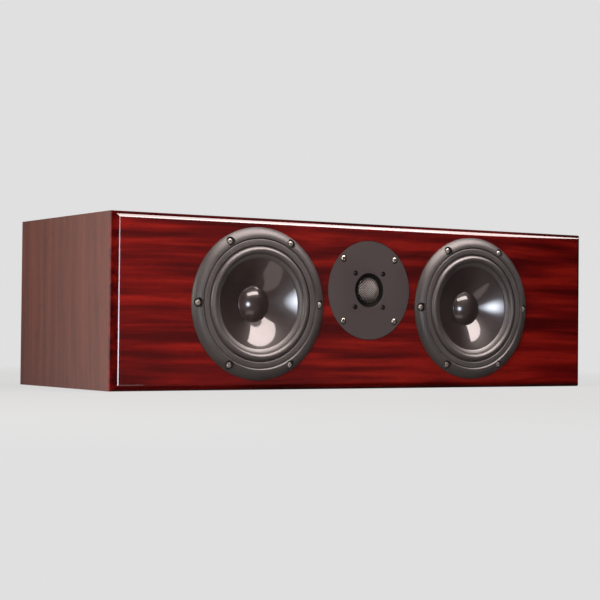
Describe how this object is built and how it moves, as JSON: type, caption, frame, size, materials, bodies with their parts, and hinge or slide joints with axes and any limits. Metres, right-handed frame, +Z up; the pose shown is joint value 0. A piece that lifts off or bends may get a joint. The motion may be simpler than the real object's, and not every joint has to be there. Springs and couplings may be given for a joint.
{
  "type": "center channel speaker",
  "caption": "Low wide loudspeaker in a gloss red mahogany cabinet, with round woofers either side of a dome tweeter under a mesh guard, and a terminal cup and ports at the back.",
  "frame": {"origin": "middle of the cabinet's underside", "axes": "+X to the right seen from the front, -Y out of the front, +Z up"},
  "size_m": [0.61, 0.2397, 0.178],
  "materials": {
    "mahogany": "gloss lacquer over ribbon-grain veneer",
    "fibreboard": "raw board",
    "damping_felt": "loose fibre",
    "port_plastic": "fine moulded texture",
    "black_steel": "black oxide",
    "screw_steel": "black nickel",
    "plated_brass": "gold plate",
    "red_plastic": "moulded",
    "black_plastic": "moulded",
    "circuit_board": "solder mask",
    "copper_wire": "enamelled",
    "capacitor_film": "moulded",
    "resistor_ceramic": "fired",
    "lead_insulation": "smooth",
    "coated_casting": "satin powder coat",
    "surround_rubber": "satin",
    "cone_polymer": "polished",
    "voice_coil": "wound",
    "spider_cloth": "resin-treated weave",
    "motor_steel": "zinc plate",
    "ferrite": "ground",
    "anodised_plate": "charcoal anodise, satin",
    "guard_mesh": "woven wire",
    "dome_metal": "satin"
  },
  "bodies": {
    "cabinet": {"front_baffle": "mahogany", "top_panel": "mahogany", "bottom_panel": "mahogany", "left_side_panel": "mahogany", "right_side_panel": "mahogany", "rear_panel": "mahogany", "left_brace": "fibreboard", "right_brace": "fibreboard", "damping_pads": "damping_felt", "left_port_tube": "port_plastic", "right_port_tube": "port_plastic", "terminal_cup": "port_plastic", "terminal_cup_screws": "black_steel", "tweeter_plate_screws": "black_steel", "left_woofer_screws": "screw_steel", "right_woofer_screws": "screw_steel", "tweeter_mounting_screws": "screw_steel", "red_binding_post": "plated_brass", "black_binding_post": "plated_brass", "post_lock_nuts": "plated_brass", "tweeter_rear_cup": "black_plastic", "board_standoffs": "black_plastic", "crossover_board": "circuit_board", "left_woofer_terminals": "circuit_board", "right_woofer_terminals": "circuit_board", "woofer_inductor": "copper_wire", "tweeter_inductor": "copper_wire", "crossover_capacitors": "capacitor_film", "crossover_resistors": "resistor_ceramic", "internal_wiring": "lead_insulation", "left_woofer_frame": "coated_casting", "right_woofer_frame": "coated_casting", "left_woofer_gasket": "surround_rubber", "right_woofer_gasket": "surround_rubber", "left_woofer_surround": "surround_rubber", "right_woofer_surround": "surround_rubber", "left_woofer_spider": "spider_cloth", "right_woofer_spider": "spider_cloth", "tweeter_surround": "spider_cloth", "left_woofer_front_plate": "motor_steel", "right_woofer_front_plate": "motor_steel", "left_woofer_yoke": "motor_steel", "right_woofer_yoke": "motor_steel", "tweeter_front_plate": "motor_steel", "tweeter_back_plate": "motor_steel", "left_woofer_magnet": "ferrite", "right_woofer_magnet": "ferrite", "tweeter_magnet": "ferrite", "tweeter_faceplate": "anodised_plate", "tweeter_guard": "guard_mesh"},
    "left_cone": {"left_woofer_cone": "cone_polymer", "left_woofer_dust_cap": "cone_polymer", "left_woofer_voice_coil": "voice_coil"},
    "right_cone": {"right_woofer_cone": "cone_polymer", "right_woofer_dust_cap": "cone_polymer", "right_woofer_voice_coil": "voice_coil"},
    "tweeter_diaphragm": {"tweeter_dome": "dome_metal", "tweeter_voice_coil": "voice_coil"},
    "red_nut": {"red_post_nut": "red_plastic"},
    "black_nut": {"black_post_nut": "black_plastic"}
  },
  "joints": [
    {"name": "left_cone_travel", "type": "slide", "parent": "cabinet", "child": "left_cone", "axis": [0, -1, 0], "range_m": [-0.004, 0.004], "stiffness_N_per_m": 1000, "deforming": ["left_woofer_surround", "left_woofer_spider"]},
    {"name": "right_cone_travel", "type": "slide", "parent": "cabinet", "child": "right_cone", "axis": [0, -1, 0], "range_m": [-0.004, 0.004], "stiffness_N_per_m": 1000, "deforming": ["right_woofer_surround", "right_woofer_spider"]},
    {"name": "tweeter_dome_travel", "type": "slide", "parent": "cabinet", "child": "tweeter_diaphragm", "axis": [0, -1, 0], "range_m": [-0.0004, 0.0004], "stiffness_N_per_m": 1000, "deforming": ["tweeter_surround"]},
    {"name": "red_nut_turn", "type": "hinge", "parent": "cabinet", "child": "red_nut", "pos_m": [0.019, 0.1, 0.089], "axis": [0, 1, 0], "range_deg": [0, 1620]},
    {"name": "black_nut_turn", "type": "hinge", "parent": "cabinet", "child": "black_nut", "pos_m": [-0.019, 0.1, 0.089], "axis": [0, 1, 0], "range_deg": [0, 1620]}
  ]
}
